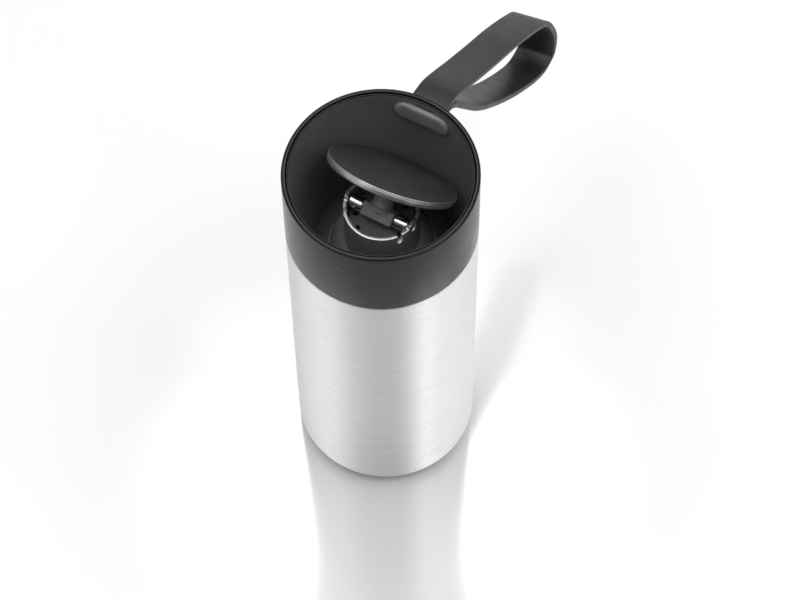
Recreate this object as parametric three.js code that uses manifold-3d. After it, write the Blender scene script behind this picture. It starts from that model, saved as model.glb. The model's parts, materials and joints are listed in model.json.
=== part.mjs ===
// Insulated travel mug: a vacuum vessel, a screw-in drinking lid whose tilting disc works a ring
// valve, and a loop strap. Millimetres, +Z up, origin at the centre of the underside, with the
// strap towards +Y and the drinking side towards -Y. The valve is open, as the disc stands tilted.
import * as THREE from 'three';
import { mergeVertices } from 'three/addons/utils/BufferGeometryUtils.js';
import Module from 'manifold-3d';

const wasm = await Module();
wasm.setup();

// Whole object
const RADIUS = 38;
const HEIGHT = 200;
const GAP = 0.3;
const ROUND = 40;

// Vessel
const COLLAR_BOTTOM = HEIGHT - 38.8;
const MOUTH_TOP = COLLAR_BOTTOM - 0.4;
const SHELL_WALL = 0.8;
const BASE_CORNER = 6.5;
const BASE_Z = 1.6;
const VESSEL_R = 34.4;
const VESSEL_WALL = 0.6;
const VESSEL_FLOOR = 9.6;
const VESSEL_CORNER = 2;
const SHELL_FOOT = BASE_Z + BASE_CORNER + GAP;
const LIP_R = VESSEL_R + VESSEL_WALL + GAP;

// Lid
const COLLAR_WALL = 1.8;
const LINER_R = 35.3;
const LINER_DROP = 6.2;
const LINER_WALL = 1.3;
const FLOOR_TOP = 141.4;
const FLOOR_BOTTOM = FLOOR_TOP - 1.6;
const PLUG_R = 33.5;
const PLUG_BOTTOM = 131.8;
const FLANGE_BOTTOM = MOUTH_TOP + 3.8;

// Valve: the hub stands VALVE_TRAVEL above its closed place
const VALVE_TRAVEL = 2.5;
const TUBE_R = 15;
const TUBE_BORE = 13.5;
const TUBE_TOP = HEIGHT - 25.5;
const DOME_R = 20.8;
const DOME_BOTTOM = FLOOR_TOP + VALVE_TRAVEL + 2.1;
const PIN_Y = -1.5;
const PIN_Z = HEIGHT - 27.8;
const PIN_R = 1.5;
const CAP_TOP = PIN_Z - 5.9;

// Flip disc, in the tilted frame whose origin is the pin and whose +Z is the disc's normal
const TILT = 46;
const DISC_R = 26.5;
const DISC_TOP = 17.4;
const DISC_THICKNESS = 3;
const DISC_Y = -1.9;
const KNUCKLE_HALF = 6.6;
const STEM_R = 4.1;
const STEM_Y = -0.5;

// Strap
const STRAP_WIDTH = 15;
const STRAP_THICKNESS = 2.5;
const STRAP_SKEW = 4;
const NECK_Z = 193;
const NECK_HEIGHT = 5.6;
const PAD_Z = 191.9;
const HINGE_Y = 42.2;
const LOOP = [
  [43.5, 194.2], [49.8, 191.5], [67.1, 179.4], [84.8, 167.4], [103.2, 155.5], [122.4, 140.9],
  [132.4, 131.7], [139.4, 112.6], [139.6, 100.3], [135.9, 96.7], [126.7, 98.1], [106.9, 113.6],
  [87.8, 132.3], [69.2, 153.8], [54, 177], [48.7, 185.2], [43.5, 190.9],
];

const materials = {
  steel: { color: 0xc9cbcd, roughness: 0.32, metalness: 1 },
  polished: { color: 0xd8dadc, roughness: 0.12, metalness: 1 },
  softTouch: { color: 0x3b3c3e, roughness: 0.7, metalness: 0 },
  gloss: { color: 0x1d1e20, roughness: 0.25, metalness: 0 },
  plastic: { color: 0x2a2b2d, roughness: 0.5, metalness: 0 },
  rubber: { color: 0x454749, roughness: 0.8, metalness: 0 },
  silicone: { color: 0x8f9498, roughness: 0.7, metalness: 0 },
};

// Points of an elliptic arc in a profile, from one angle to another in degrees.
function arc(cx, cy, rx, ry, from, to, steps) {
  const points = [];
  for (let i = 0; i <= steps; i++) {
    const a = THREE.MathUtils.degToRad(from + (to - from) * i / steps);
    points.push([cx + rx * Math.cos(a), cy + ry * Math.sin(a)]);
  }
  return points;
}

// A geometry as a solid for boolean work.
function solid(geometry) {
  const bare = new THREE.BufferGeometry();
  bare.setAttribute('position', geometry.getAttribute('position').clone());
  if (geometry.index) bare.setIndex(geometry.index.clone());
  const merged = mergeVertices(bare, 1e-4);
  return new wasm.Manifold(new wasm.Mesh({
    numProp: 3,
    vertProperties: new Float32Array(merged.getAttribute('position').array),
    triVerts: new Uint32Array(merged.index.array),
  }));
}

// A solid back to a geometry.
function geometryOf(body) {
  const mesh = body.getMesh();
  const geometry = new THREE.BufferGeometry();
  geometry.setAttribute('position', new THREE.BufferAttribute(mesh.vertProperties.slice(), 3));
  geometry.setIndex(new THREE.BufferAttribute(mesh.triVerts.slice(), 1));
  geometry.computeVertexNormals();
  return geometry;
}

// A profile of [radius, height] points turned about Z. A closed ring repeats its first point.
function revolve(profile, { ring = false, segments = ROUND } = {}) {
  const loop = ring ? [...profile, profile[0]] : profile;
  let area = 0;
  for (let i = 0; i < loop.length; i++) {
    const [r0, z0] = loop[i];
    const [r1, z1] = loop[(i + 1) % loop.length];
    area += r0 * z1 - r1 * z0;
  }
  const ordered = area > 0 ? loop : [...loop].reverse();
  const points = ordered.map(([r, z]) => new THREE.Vector2(r, z));
  return new THREE.LatheGeometry(points, segments).rotateX(Math.PI / 2);
}

// A cylinder along Z between two heights.
function post(radius, bottom, top, segments = 24) {
  const geometry = new THREE.CylinderGeometry(radius, radius, top - bottom, segments);
  return geometry.rotateX(Math.PI / 2).translate(0, 0, (bottom + top) / 2);
}

// A cylinder along X at the pin's place in the mug's frame.
function cross(radius, x0, x1, segments = 24, y = PIN_Y, z = PIN_Z) {
  const geometry = new THREE.CylinderGeometry(radius, radius, x1 - x0, segments);
  return geometry.rotateZ(Math.PI / 2).translate((x0 + x1) / 2, y, z);
}

// A box between two corners.
function block(x0, y0, z0, x1, y1, z1) {
  const geometry = new THREE.BoxGeometry(x1 - x0, y1 - y0, z1 - z0);
  return geometry.translate((x0 + x1) / 2, (y0 + y1) / 2, (z0 + z1) / 2);
}

// A rounded slot in the XZ plane, extruded along Y.
function pill(width, height, radius, z, y0, y1) {
  const shape = new THREE.Shape();
  const x = width / 2 - radius;
  const h = height / 2 - radius;
  shape.absarc(x, h, radius, 0, Math.PI / 2, false);
  shape.absarc(-x, h, radius, Math.PI / 2, Math.PI, false);
  shape.absarc(-x, -h, radius, Math.PI, Math.PI * 1.5, false);
  shape.absarc(x, -h, radius, Math.PI * 1.5, Math.PI * 2, false);
  const geometry = new THREE.ExtrudeGeometry(shape, { depth: y1 - y0, bevelEnabled: false, curveSegments: 5 });
  return geometry.rotateX(Math.PI / 2).translate(0, y1, z);
}

// Copies of a geometry round the Z axis.
function around(count, first, make) {
  return Array.from({ length: count }, (_, i) => {
    const angle = THREE.MathUtils.degToRad(first + 360 * i / count);
    return solid(make(Math.cos(angle), Math.sin(angle), angle));
  });
}

// Radius of the bowl's inner wall at a height.
function bowlRadius(z) {
  return LINER_R - LINER_DROP * ((HEIGHT - z) / 45) ** 1.5;
}

// ---- Vessel ----

function outerShell() {
  const inner = RADIUS - SHELL_WALL;
  return revolve([
    [inner, SHELL_FOOT],
    [RADIUS, SHELL_FOOT],
    [RADIUS, MOUTH_TOP - 0.6],
    [RADIUS - 0.6, MOUTH_TOP],
    [LIP_R, MOUTH_TOP],
    [LIP_R, MOUTH_TOP - SHELL_WALL],
    [inner, MOUTH_TOP - SHELL_WALL],
  ], { ring: true });
}

function innerVessel() {
  const outer = VESSEL_R + VESSEL_WALL;
  const foot = VESSEL_FLOOR + VESSEL_CORNER + GAP;
  const top = MOUTH_TOP - 0.3;
  return revolve([[VESSEL_R, foot], [outer, foot], [outer, top], [VESSEL_R, top]], { ring: true });
}

function innerFloor() {
  const corner = VESSEL_CORNER;
  const c = VESSEL_R - corner;
  const outer = corner + VESSEL_WALL;
  return revolve([
    [0, VESSEL_FLOOR],
    ...arc(c, VESSEL_FLOOR + corner, corner, corner, -90, 0, 3),
    ...arc(c, VESSEL_FLOOR + corner, outer, outer, 0, -90, 3),
    [0, VESSEL_FLOOR - VESSEL_WALL],
  ]);
}

function baseCup() {
  const c = RADIUS - BASE_CORNER;
  const z = BASE_Z + BASE_CORNER;
  const inner = BASE_CORNER - SHELL_WALL;
  return revolve([
    [1.2, BASE_Z],
    ...arc(c, z, BASE_CORNER, BASE_CORNER, -90, 0, 5),
    ...arc(c, z, inner, inner, 0, -90, 4),
    [1.2, BASE_Z + SHELL_WALL],
  ], { ring: true });
}

function footPad() {
  return revolve([[0, 0], [29.8, 0], [30.4, 0.5], [30.4, 1.4], [0, 1.4]]);
}

function vacuumSeal() {
  return revolve([[0, 2.8], [3.5, 2.8], [3, 3.6], [0, 3.9]], { segments: 24 });
}

function getterCup() {
  const profile = [[0, 5.6], [5.4, 5.6], [6, 6.2], [6, 8.5], [5.2, 8.5], [5.2, 6.4], [0, 6.4]];
  return revolve(profile, { segments: 24 }).translate(14, 0, 0);
}

// ---- Lid ----

function strapSlot() {
  return solid(pill(STRAP_WIDTH + 0.6, NECK_HEIGHT + 0.6, 1.2, NECK_Z, 30, 40));
}

function lidCollar() {
  const inner = RADIUS - COLLAR_WALL;
  const wall = revolve([
    [inner, COLLAR_BOTTOM],
    [RADIUS - 0.4, COLLAR_BOTTOM],
    [RADIUS, COLLAR_BOTTOM + 0.4],
    ...arc(RADIUS - 0.8, HEIGHT - 0.8, 0.8, 0.8, 0, 90, 3),
    [inner + 0.3, HEIGHT],
    [inner, HEIGHT - 0.3],
  ], { ring: true });
  return geometryOf(solid(wall).subtract(strapSlot()));
}

function bowlLiner() {
  const heights = [HEIGHT - 0.5, 188, 174, 161, 148.4];
  const fillet = bowlRadius(148.4);
  const bend = fillet - 22;
  const drop = 148.4 - FLOOR_TOP;
  const lip = RADIUS - COLLAR_WALL - GAP;
  const wall = revolve([
    [1.6, FLOOR_TOP],
    ...arc(22, 148.4, bend, drop, -90, -15, 3),
    ...heights.map((z) => [bowlRadius(z), z]).reverse(),
    ...heights.map((z) => [Math.min(lip, bowlRadius(z) + LINER_WALL), z]),
    ...arc(22, 148.4, bend + LINER_WALL, drop + 1.6, -15, -90, 3),
    [1.6, FLOOR_BOTTOM],
  ], { ring: true });
  const holes = around(10, 18, (c, s) => post(2.4, 130, 145, 8).translate(11.5 * c, 11.5 * s, 0));
  const cuts = holes.reduce((sum, hole) => sum.add(hole), strapSlot());
  return geometryOf(solid(wall).subtract(cuts));
}

// Thread ridge round the plug: a round wire wound as a helix and sunk in the wall.
function threadRidge() {
  const turns = 1.25;
  const points = [];
  for (let i = 0; i <= 30; i++) {
    const a = 2 * Math.PI * turns * i / 30;
    points.push(new THREE.Vector3(PLUG_R * Math.cos(a), PLUG_R * Math.sin(a), 147 + 4 * turns * i / 30));
  }
  const shape = new THREE.Shape(arc(0, 0, 0.5, 0.5, 0, 300, 5).map(([x, y]) => new THREE.Vector2(x, y)));
  const extrudePath = new THREE.CatmullRomCurve3(points);
  return new THREE.ExtrudeGeometry(shape, { steps: 32, extrudePath });
}

function lidPlug() {
  const inner = PLUG_R - 1;
  const lip = RADIUS - COLLAR_WALL - GAP;
  const wall = revolve([
    [20.5, FLOOR_BOTTOM - 2],
    [28, FLOOR_BOTTOM - 2],
    [28, PLUG_BOTTOM],
    [PLUG_R - 0.1, PLUG_BOTTOM],
    [PLUG_R - 0.1, PLUG_BOTTOM + 1.2],
    [31.4, PLUG_BOTTOM + 1.2],
    [31.4, PLUG_BOTTOM + 4.6],
    [PLUG_R, PLUG_BOTTOM + 4.6],
    [PLUG_R, FLANGE_BOTTOM],
    [lip, FLANGE_BOTTOM],
    [lip, FLANGE_BOTTOM + 1.4],
    [inner + 0.7, FLANGE_BOTTOM + 1.4],
    [inner + 0.7, FLANGE_BOTTOM + 0.7],
    [inner, FLANGE_BOTTOM],
    [inner, FLOOR_BOTTOM - 0.4],
    [20.5, FLOOR_BOTTOM - 0.4],
  ], { ring: true });
  return geometryOf(solid(wall).add(solid(threadRidge())));
}

function lidGasket() {
  const z = PLUG_BOTTOM + 1.5;
  return revolve([[31.7, z], [33.6, z], [34.1, z + 1.4], [33.6, z + 2.8], [31.7, z + 2.8]], { ring: true });
}

function mouthSeal() {
  const bottom = MOUTH_TOP + GAP;
  const top = FLANGE_BOTTOM - GAP;
  return revolve([[33.8, bottom], [35.9, bottom], [35.9, top], [33.8, top]], { ring: true });
}

function guidePost() {
  const wall = revolve([
    [0, CAP_TOP],
    [12.6, CAP_TOP],
    [13, CAP_TOP - 0.4],
    [13, CAP_TOP - 2],
    [3.9, CAP_TOP - 2],
    [3.9, FLOOR_TOP + GAP],
    [1.6, FLOOR_TOP + GAP],
    [1.6, FLOOR_TOP + 10],
    [0, FLOOR_TOP + 10],
  ], { segments: 32 });
  const holes = around(10, 18, (c, s) => post(1.1, 150, 170, 8).translate(10.4 * c, 10.4 * s, 0));
  return geometryOf(holes.reduce((body, hole) => body.subtract(hole), solid(wall)));
}

function postScrew() {
  return revolve([
    [0, FLOOR_BOTTOM - 2.3],
    [2.8, FLOOR_BOTTOM - 2.3],
    [3.2, FLOOR_BOTTOM - 1.9],
    [3.2, FLOOR_BOTTOM - GAP],
    [1.3, FLOOR_BOTTOM - GAP],
    [1.3, FLOOR_TOP + 9.5],
    [0, FLOOR_TOP + 9.5],
  ], { segments: 16 });
}

function valveSpring() {
  const bottom = DOME_BOTTOM + 7.4;
  const top = CAP_TOP - 2 - GAP - 0.55;
  const turns = 4;
  const points = [];
  for (let i = 0; i <= turns * 12; i++) {
    const a = 2 * Math.PI * i / 12;
    const z = bottom + (top - bottom) * i / (turns * 12);
    points.push(new THREE.Vector3(7 * Math.cos(a), 7 * Math.sin(a), z));
  }
  const shape = new THREE.Shape(arc(0, 0, 0.5, 0.5, 0, 300, 5).map(([x, y]) => new THREE.Vector2(x, y)));
  const extrudePath = new THREE.CatmullRomCurve3(points);
  return new THREE.ExtrudeGeometry(shape, { steps: 56, extrudePath });
}

// ---- Valve hub ----

function hubDome() {
  const rise = 7.5;
  const wall = solid(revolve([
    [4.3, DOME_BOTTOM + 5],
    [15.6, DOME_BOTTOM + 5],
    ...arc(14.3, DOME_BOTTOM + 0.5, 5, rise - 1.7, 48, 0, 3),
    [19.3, DOME_BOTTOM],
    [DOME_R, DOME_BOTTOM],
    ...arc(14.3, DOME_BOTTOM + 0.5, DOME_R - 14.3, rise, 0, 83, 5),
    [TUBE_R, DOME_BOTTOM + 8.2],
    [TUBE_R, TUBE_TOP - 0.3],
    [TUBE_R - 0.3, TUBE_TOP],
    [TUBE_BORE + 0.3, TUBE_TOP],
    [TUBE_BORE, TUBE_TOP - 0.3],
    [TUBE_BORE, DOME_BOTTOM + 6.5],
    [4.3, DOME_BOTTOM + 6.5],
  ], { ring: true, segments: 36 }));
  const collar = solid(revolve([
    [TUBE_BORE, 166], [TUBE_R, 166], [TUBE_R, 177], [TUBE_BORE, 177],
  ], { ring: true, segments: 36 }));
  const ears = collar.intersect(solid(cross(3.5, -16, 16, 20)));
  const notches = [-147, -33, 33, 147].map((degrees) => {
    const notch = block(TUBE_BORE - 2, -1.1, TUBE_TOP - 5, TUBE_R + 2, 1.1, TUBE_TOP + 2);
    return solid(notch.rotateZ(THREE.MathUtils.degToRad(degrees)));
  });
  const cuts = notches.reduce((sum, notch) => sum.add(notch), solid(cross(PIN_R + GAP, -17, 17, 16)));
  return geometryOf(wall.add(ears).subtract(cuts));
}

function hubSeal() {
  const top = DOME_BOTTOM - GAP;
  const bottom = FLOOR_TOP + VALVE_TRAVEL + 0.2;
  return revolve([
    [18.3, top], [17.9, bottom + 0.5], [18.6, bottom], [20.2, bottom], [20.9, bottom + 0.5], [20.6, top],
  ], { ring: true, segments: 36 });
}

function pinSleeve(side) {
  const sleeve = revolve([
    [PIN_R + GAP, 7], [2.6, 7], [2.9, 7.3], [2.9, 12.3], [2.6, 12.6], [PIN_R + GAP, 12.6],
  ], { ring: true, segments: 20 });
  return sleeve.rotateY(side * Math.PI / 2).translate(0, PIN_Y, PIN_Z);
}

// ---- Flip disc, in the tilted frame ----

function flipDisc() {
  const bottom = DISC_TOP - DISC_THICKNESS;
  const plate = revolve([
    [0, bottom],
    [DISC_R - 0.6, bottom],
    [DISC_R, bottom + 0.5],
    [DISC_R, DISC_TOP - 0.4],
    [DISC_R - 0.4, DISC_TOP],
    [0, DISC_TOP],
  ]).translate(0, DISC_Y, 0);
  const holes = around(3, 90, (c, s) => post(1.1, 10, 16.4, 8).translate(6.4 * c, STEM_Y + 6.4 * s, 0));
  return geometryOf(holes.reduce((body, hole) => body.subtract(hole), solid(plate)));
}

// Pivot block with its cam lobe, and the round stem and flange that carry the disc.
function discKnuckle() {
  const outline = [
    [-3.4, 2.2], [-2.8, 2.8], [3.2, 2.8], [4.4, 1.8], [6.09, -1.63], [5, -2.3],
    [1.4, -3], [-2.8, -3], [-3.4, -2.4],
  ];
  const shape = new THREE.Shape(outline.map(([y, z]) => new THREE.Vector2(y, z)));
  const bevel = { bevelEnabled: true, bevelSize: -0.3, bevelThickness: 0.3, bevelOffset: 0, bevelSegments: 1 };
  const pivot = new THREE.ExtrudeGeometry(shape, { depth: 2 * KNUCKLE_HALF - 0.6, ...bevel });
  pivot.rotateX(Math.PI / 2).rotateZ(Math.PI / 2).translate(-KNUCKLE_HALF + 0.3, 0, 0);
  const top = DISC_TOP - DISC_THICKNESS - GAP;
  const stem = revolve([
    [0, 0], [5.2, 2], [5.2, 2.8], [4.4, 3.3], [STEM_R, 4.2], [STEM_R, top - 2],
    [STEM_R + 0.6, top - 1.4], [8.6, top - 1.4], [8.6, top], [0, top],
  ], { segments: 24 }).translate(0, STEM_Y, 0);
  const bore = solid(cross(PIN_R + GAP, -10, 10, 16, 0, 0));
  const holes = around(3, 90, (c, s) => post(1.1, 10, 16.4, 8).translate(6.4 * c, STEM_Y + 6.4 * s, 0));
  const body = solid(pivot).add(solid(stem)).subtract(bore);
  return geometryOf(holes.reduce((sum, hole) => sum.subtract(hole), body));
}

function discScrew(index) {
  const seat = DISC_TOP - DISC_THICKNESS - GAP - 1.4 - GAP;
  const angle = THREE.MathUtils.degToRad(90 + 120 * index);
  return revolve([
    [0, seat - 1], [1.3, seat - 1], [1.6, seat - 0.6], [1.6, seat], [0.8, seat], [0.8, 16.1], [0, 16.1],
  ], { segments: 12 }).translate(6.4 * Math.cos(angle), STEM_Y + 6.4 * Math.sin(angle), 0);
}

// ---- Strap ----

function strapAnchor() {
  const ring = revolve([[32.7, 180], [34, 180], [34, 199], [32.7, 199]], { ring: true, segments: 96 });
  const pad = solid(ring).intersect(solid(pill(24, 8.6, 4.2, PAD_Z, 25, 40)));
  const neck = solid(pill(STRAP_WIDTH, NECK_HEIGHT, 0.9, NECK_Z, 33, 39));
  return geometryOf(pad.add(neck));
}

// Draws the far end's left side in, as the soft band is twisted a little along its length.
function skewFarEnd(geometry) {
  const place = geometry.getAttribute('position');
  for (let i = 0; i < place.count; i++) {
    const along = THREE.MathUtils.clamp((place.getY(i) - 60) / 65, 0, 1);
    const shift = STRAP_SKEW * along * (place.getX(i) / STRAP_WIDTH - 0.5);
    place.setY(i, place.getY(i) + shift);
    place.setZ(i, place.getZ(i) - 0.6 * shift);
  }
}

// Both bands of the loop, bent along its centre line, and the rounded root where they join.
function strapLoop() {
  const curve = new THREE.CatmullRomCurve3(LOOP.map(([y, z]) => new THREE.Vector3(0, y, z)));
  const outer = [];
  const inner = [];
  const steps = 64;
  for (let i = 0; i <= steps; i++) {
    const p = curve.getPoint(i / steps);
    const t = curve.getTangent(i / steps);
    const half = STRAP_THICKNESS / 2;
    outer.push(new THREE.Vector2(p.y - t.z * half, p.z + t.y * half));
    inner.push(new THREE.Vector2(p.y + t.z * half, p.z - t.y * half));
  }
  const shape = new THREE.Shape([...outer, ...inner.reverse()]);
  const band = new THREE.ExtrudeGeometry(shape, { depth: STRAP_WIDTH, bevelEnabled: false });
  band.rotateX(Math.PI / 2).rotateZ(Math.PI / 2).translate(-STRAP_WIDTH / 2, 0, 0);
  skewFarEnd(band);
  const half = STRAP_WIDTH / 2;
  const root = cross(NECK_HEIGHT / 2, -half, half, 20, HINGE_Y, NECK_Z);
  const web = block(-half, HINGE_Y, NECK_Z - 2, half, HINGE_Y + 4, NECK_Z + 2);
  return geometryOf(solid(band).add(solid(root)).add(solid(web)));
}

// ---- Assembly ----

function piece(name, geometry, material) {
  const mesh = new THREE.Mesh(geometry, new THREE.MeshStandardMaterial(materials[material]));
  mesh.name = name;
  return mesh;
}

const vessel = new THREE.Group();
vessel.add(
  piece('outer_shell', outerShell(), 'steel'),
  piece('inner_vessel', innerVessel(), 'steel'),
  piece('inner_floor', innerFloor(), 'steel'),
  piece('base_cup', baseCup(), 'steel'),
  piece('foot_pad', footPad(), 'rubber'),
  piece('vacuum_seal', vacuumSeal(), 'steel'),
  piece('getter_cup', getterCup(), 'steel'),
);

const lid = new THREE.Group();
lid.add(
  piece('lid_collar', lidCollar(), 'softTouch'),
  piece('bowl_liner', bowlLiner(), 'plastic'),
  piece('lid_plug', lidPlug(), 'plastic'),
  piece('lid_gasket', lidGasket(), 'silicone'),
  piece('mouth_seal', mouthSeal(), 'silicone'),
  piece('guide_post', guidePost(), 'plastic'),
  piece('post_screw', postScrew(), 'polished'),
  piece('valve_spring', valveSpring(), 'polished'),
);

const hub = new THREE.Group();
hub.add(
  piece('hub_dome', hubDome(), 'gloss'),
  piece('hub_seal', hubSeal(), 'silicone'),
  piece('hinge_pin', cross(PIN_R, -14.6, 14.6, 20), 'polished'),
  piece('pin_sleeve_left', pinSleeve(-1), 'polished'),
  piece('pin_sleeve_right', pinSleeve(1), 'polished'),
);

const disc = new THREE.Group();
disc.position.set(0, PIN_Y, PIN_Z);
disc.rotation.x = THREE.MathUtils.degToRad(-TILT);
disc.add(piece('flip_disc', flipDisc(), 'plastic'), piece('disc_knuckle', discKnuckle(), 'gloss'));
for (let i = 0; i < 3; i++) disc.add(piece(`disc_screw_${i + 1}`, discScrew(i), 'polished'));

const strap = new THREE.Group();
strap.add(
  piece('strap_anchor', strapAnchor(), 'rubber'),
  piece('strap_loop', strapLoop(), 'rubber'),
);

const mug = new THREE.Group();
mug.add(vessel, lid, hub, disc, strap);

export default mug;
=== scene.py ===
"""Looks of the insulated travel mug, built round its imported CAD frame. Metres, +Z up."""

import json
import math

import bmesh
import bpy
import numpy as np
from mathutils import Matrix, Vector

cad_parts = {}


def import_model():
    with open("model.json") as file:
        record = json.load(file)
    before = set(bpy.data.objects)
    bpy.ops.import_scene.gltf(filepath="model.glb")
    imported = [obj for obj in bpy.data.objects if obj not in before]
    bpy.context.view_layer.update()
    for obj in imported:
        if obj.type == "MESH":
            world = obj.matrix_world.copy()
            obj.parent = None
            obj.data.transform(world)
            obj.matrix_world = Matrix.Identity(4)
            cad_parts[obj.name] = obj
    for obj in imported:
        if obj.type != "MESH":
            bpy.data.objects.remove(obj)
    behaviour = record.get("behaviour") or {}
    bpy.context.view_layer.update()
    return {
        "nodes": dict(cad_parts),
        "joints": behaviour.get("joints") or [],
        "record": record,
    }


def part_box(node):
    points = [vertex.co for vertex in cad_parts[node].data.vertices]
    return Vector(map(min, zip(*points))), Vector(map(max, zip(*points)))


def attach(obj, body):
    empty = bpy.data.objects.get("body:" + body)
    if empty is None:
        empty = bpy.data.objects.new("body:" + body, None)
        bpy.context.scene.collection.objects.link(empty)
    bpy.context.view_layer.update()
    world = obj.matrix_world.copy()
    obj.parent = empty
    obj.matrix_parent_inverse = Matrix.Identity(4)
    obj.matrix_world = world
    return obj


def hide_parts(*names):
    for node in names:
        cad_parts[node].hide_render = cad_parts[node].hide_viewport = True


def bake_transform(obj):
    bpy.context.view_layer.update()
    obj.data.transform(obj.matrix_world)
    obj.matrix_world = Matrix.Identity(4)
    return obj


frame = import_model()

MM = 0.001
VIEW_SIDE = math.radians(29.73)
CEILING = 1.4
AIM = (0, 0, 0.15)
LIGHT_DISTANCE = 1.2

# ---- Places and sizes taken from the frame, in millimetres ----


def span(node):
    """A CAD node's lowest and highest corners, in millimetres."""
    low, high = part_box(node)
    return low / MM, high / MM


def joint(name):
    """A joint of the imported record."""
    return next(j for j in frame["joints"] if j["name"] == name)


COLLAR_LOW, COLLAR_HIGH = span("lid_collar")
CAP_LOW, CAP_HIGH = span("guide_post")
PAD_LOW, PAD_HIGH = span("strap_anchor")
STRAP_LOW, STRAP_HIGH = span("strap_loop")

RADIUS = COLLAR_HIGH.x
RIM = COLLAR_HIGH.z
PIN = Vector(joint("disc_tilt")["pos_m"]) / MM
TILT = math.radians(joint("disc_tilt")["range_deg"][1])
STRAP_HINGE = Vector(joint("strap_swing")["pos_m"]) / MM
DISC_FRAME = Matrix.Translation(PIN) @ Matrix.Rotation(-TILT, 4, "X")

# The bowl narrows by BOWL_TAPER from its lip's radius over BOWL_DEPTH.
BOWL_LIP_R = 35.3
BOWL_TAPER = 6.2
BOWL_DEPTH = 45
BOWL_WALL = 1.3
BOWL_FLOOR = CAP_LOW.z - 0.3
BOWL_FLOOR_WALL = 1.6
SCREW_HOLE = 1.6

PLUG_R = 33.5
GROOVE_R = 31.4
TUBE_R = 15
TUBE_BORE = 13.5
TUBE_TOP = RIM - 25.5
BORE_R = 1.8

DISC_R = 26.5
DISC_TOP = 17.4
DISC_THICKNESS = 3
DISC_Y = -1.9
STEM_R = 4.1
STEM_Y = -0.5

STRAP_WIDTH = STRAP_HIGH.x - STRAP_LOW.x
STRAP_THICKNESS = 2.5
# The far end slides out by STRAP_SKEW, which grows from SKEW_FROM over SKEW_REACH, and drops with it.
STRAP_SKEW = 4
SKEW_FROM = 60
SKEW_REACH = 65
SKEW_DROP = 0.6
NECK_HEIGHT = 5.6
PAD_WIDTH = PAD_HIGH.x - PAD_LOW.x
PAD_HEIGHT = PAD_HIGH.z - PAD_LOW.z
PAD_Z = (PAD_HIGH.z + PAD_LOW.z) / 2
PAD_BEND_R = 34

# The strap's centre line from the rim wall round the loop and back, as (y, z).
STRAP_LINE = [
    (35, 194.5), (38.5, 194.5), (42.5, 194.2), (49.8, 191.5), (67.1, 179.4), (84.8, 167.4),
    (103.2, 155.5), (122.4, 140.9), (131.8, 131.3), (140, 112.7), (140.4, 100.2), (136.8, 96.4),
    (126.7, 98.1), (106.9, 113.6), (87.8, 132.3), (69.2, 153.8), (54, 177), (48.7, 185.2),
    (43.5, 190.6), (38.5, 191.5), (35, 191.5),
]

# ---- Mesh helpers: every length is in millimetres until to_object ----


def arc(cx, cy, rx, ry, start, end, steps):
    """Points of an elliptic arc between two angles in degrees."""
    angles = np.radians(np.linspace(start, end, steps + 1))
    return [(cx + rx * math.cos(a), cy + ry * math.sin(a)) for a in angles]


def circle(radius, sides):
    """Points of a circle about the origin."""
    return arc(0, 0, radius, radius, 0, 360 - 360 / sides, sides - 1)


def rounded(corners, steps=4):
    """An outline whose corners, given as (x, y, radius), are rounded off."""
    points = []
    count = len(corners)
    for i, (x, y, radius) in enumerate(corners):
        here = Vector((x, y))
        before = Vector(corners[i - 1][:2]) - here
        after = Vector(corners[(i + 1) % count][:2]) - here
        if radius == 0:
            points.append((x, y))
            continue
        half = before.angle(after) / 2
        reach = min(radius / math.tan(half), before.length * 0.49, after.length * 0.49)
        a = here + before.normalized() * reach
        b = here + after.normalized() * reach
        for k in range(steps + 1):
            t = k / steps
            points.append(tuple(a * (1 - t) ** 2 + here * 2 * t * (1 - t) + b * t * t))
    return points


def to_object(name, vertices, faces, matrix=Matrix.Identity(4), sharp=35):
    """A shaded object in metres from millimetre vertices."""
    mesh = bpy.data.meshes.new(name)
    mesh.from_pydata([tuple((matrix @ Vector(v)) * MM) for v in vertices], [], faces)
    mesh.validate()
    obj = bpy.data.objects.new(name, mesh)
    bpy.context.scene.collection.objects.link(obj)
    tidy_shading(obj, sharp)
    return obj


def tidy_shading(obj, sharp=35):
    """Outward normals, smooth shading and sharp edges above an angle in degrees."""
    bm = bmesh.new()
    bm.from_mesh(obj.data)
    bmesh.ops.remove_doubles(bm, verts=bm.verts, dist=1e-7)
    bmesh.ops.recalc_face_normals(bm, faces=bm.faces)
    bm.to_mesh(obj.data)
    bm.free()
    for polygon in obj.data.polygons:
        polygon.use_smooth = True
    obj.data.set_sharp_from_angle(angle=math.radians(sharp))


def skin(rows):
    """Quads between neighbouring rows of a tube's vertices, with a cap at both ends."""
    faces = [rows[0][::-1], rows[-1]]
    for low, high in zip(rows, rows[1:]):
        for k in range(len(low)):
            m = (k + 1) % len(low)
            faces.append([low[k], low[m], high[m], high[k]])
    return faces


def lathe(name, profile, segments=192, matrix=Matrix.Identity(4), sharp=35):
    """A closed outline of (radius, height) turned about Z. Points on the axis become poles."""
    vertices, rows = [], []
    for r, z in profile:
        if r < 1e-6:
            rows.append([len(vertices)] * segments)
            vertices.append((0, 0, z))
            continue
        rows.append(list(range(len(vertices), len(vertices) + segments)))
        for k in range(segments):
            a = 2 * math.pi * k / segments
            vertices.append((r * math.cos(a), r * math.sin(a), z))
    faces = []
    for i in range(len(rows)):
        low, high = rows[i], rows[(i + 1) % len(rows)]
        for k in range(segments):
            m = (k + 1) % segments
            face = []
            for v in (low[k], low[m], high[m], high[k]):
                if v not in face:
                    face.append(v)
            if len(face) > 2:
                faces.append(face)
    return to_object(name, vertices, faces, matrix, sharp)


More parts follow.
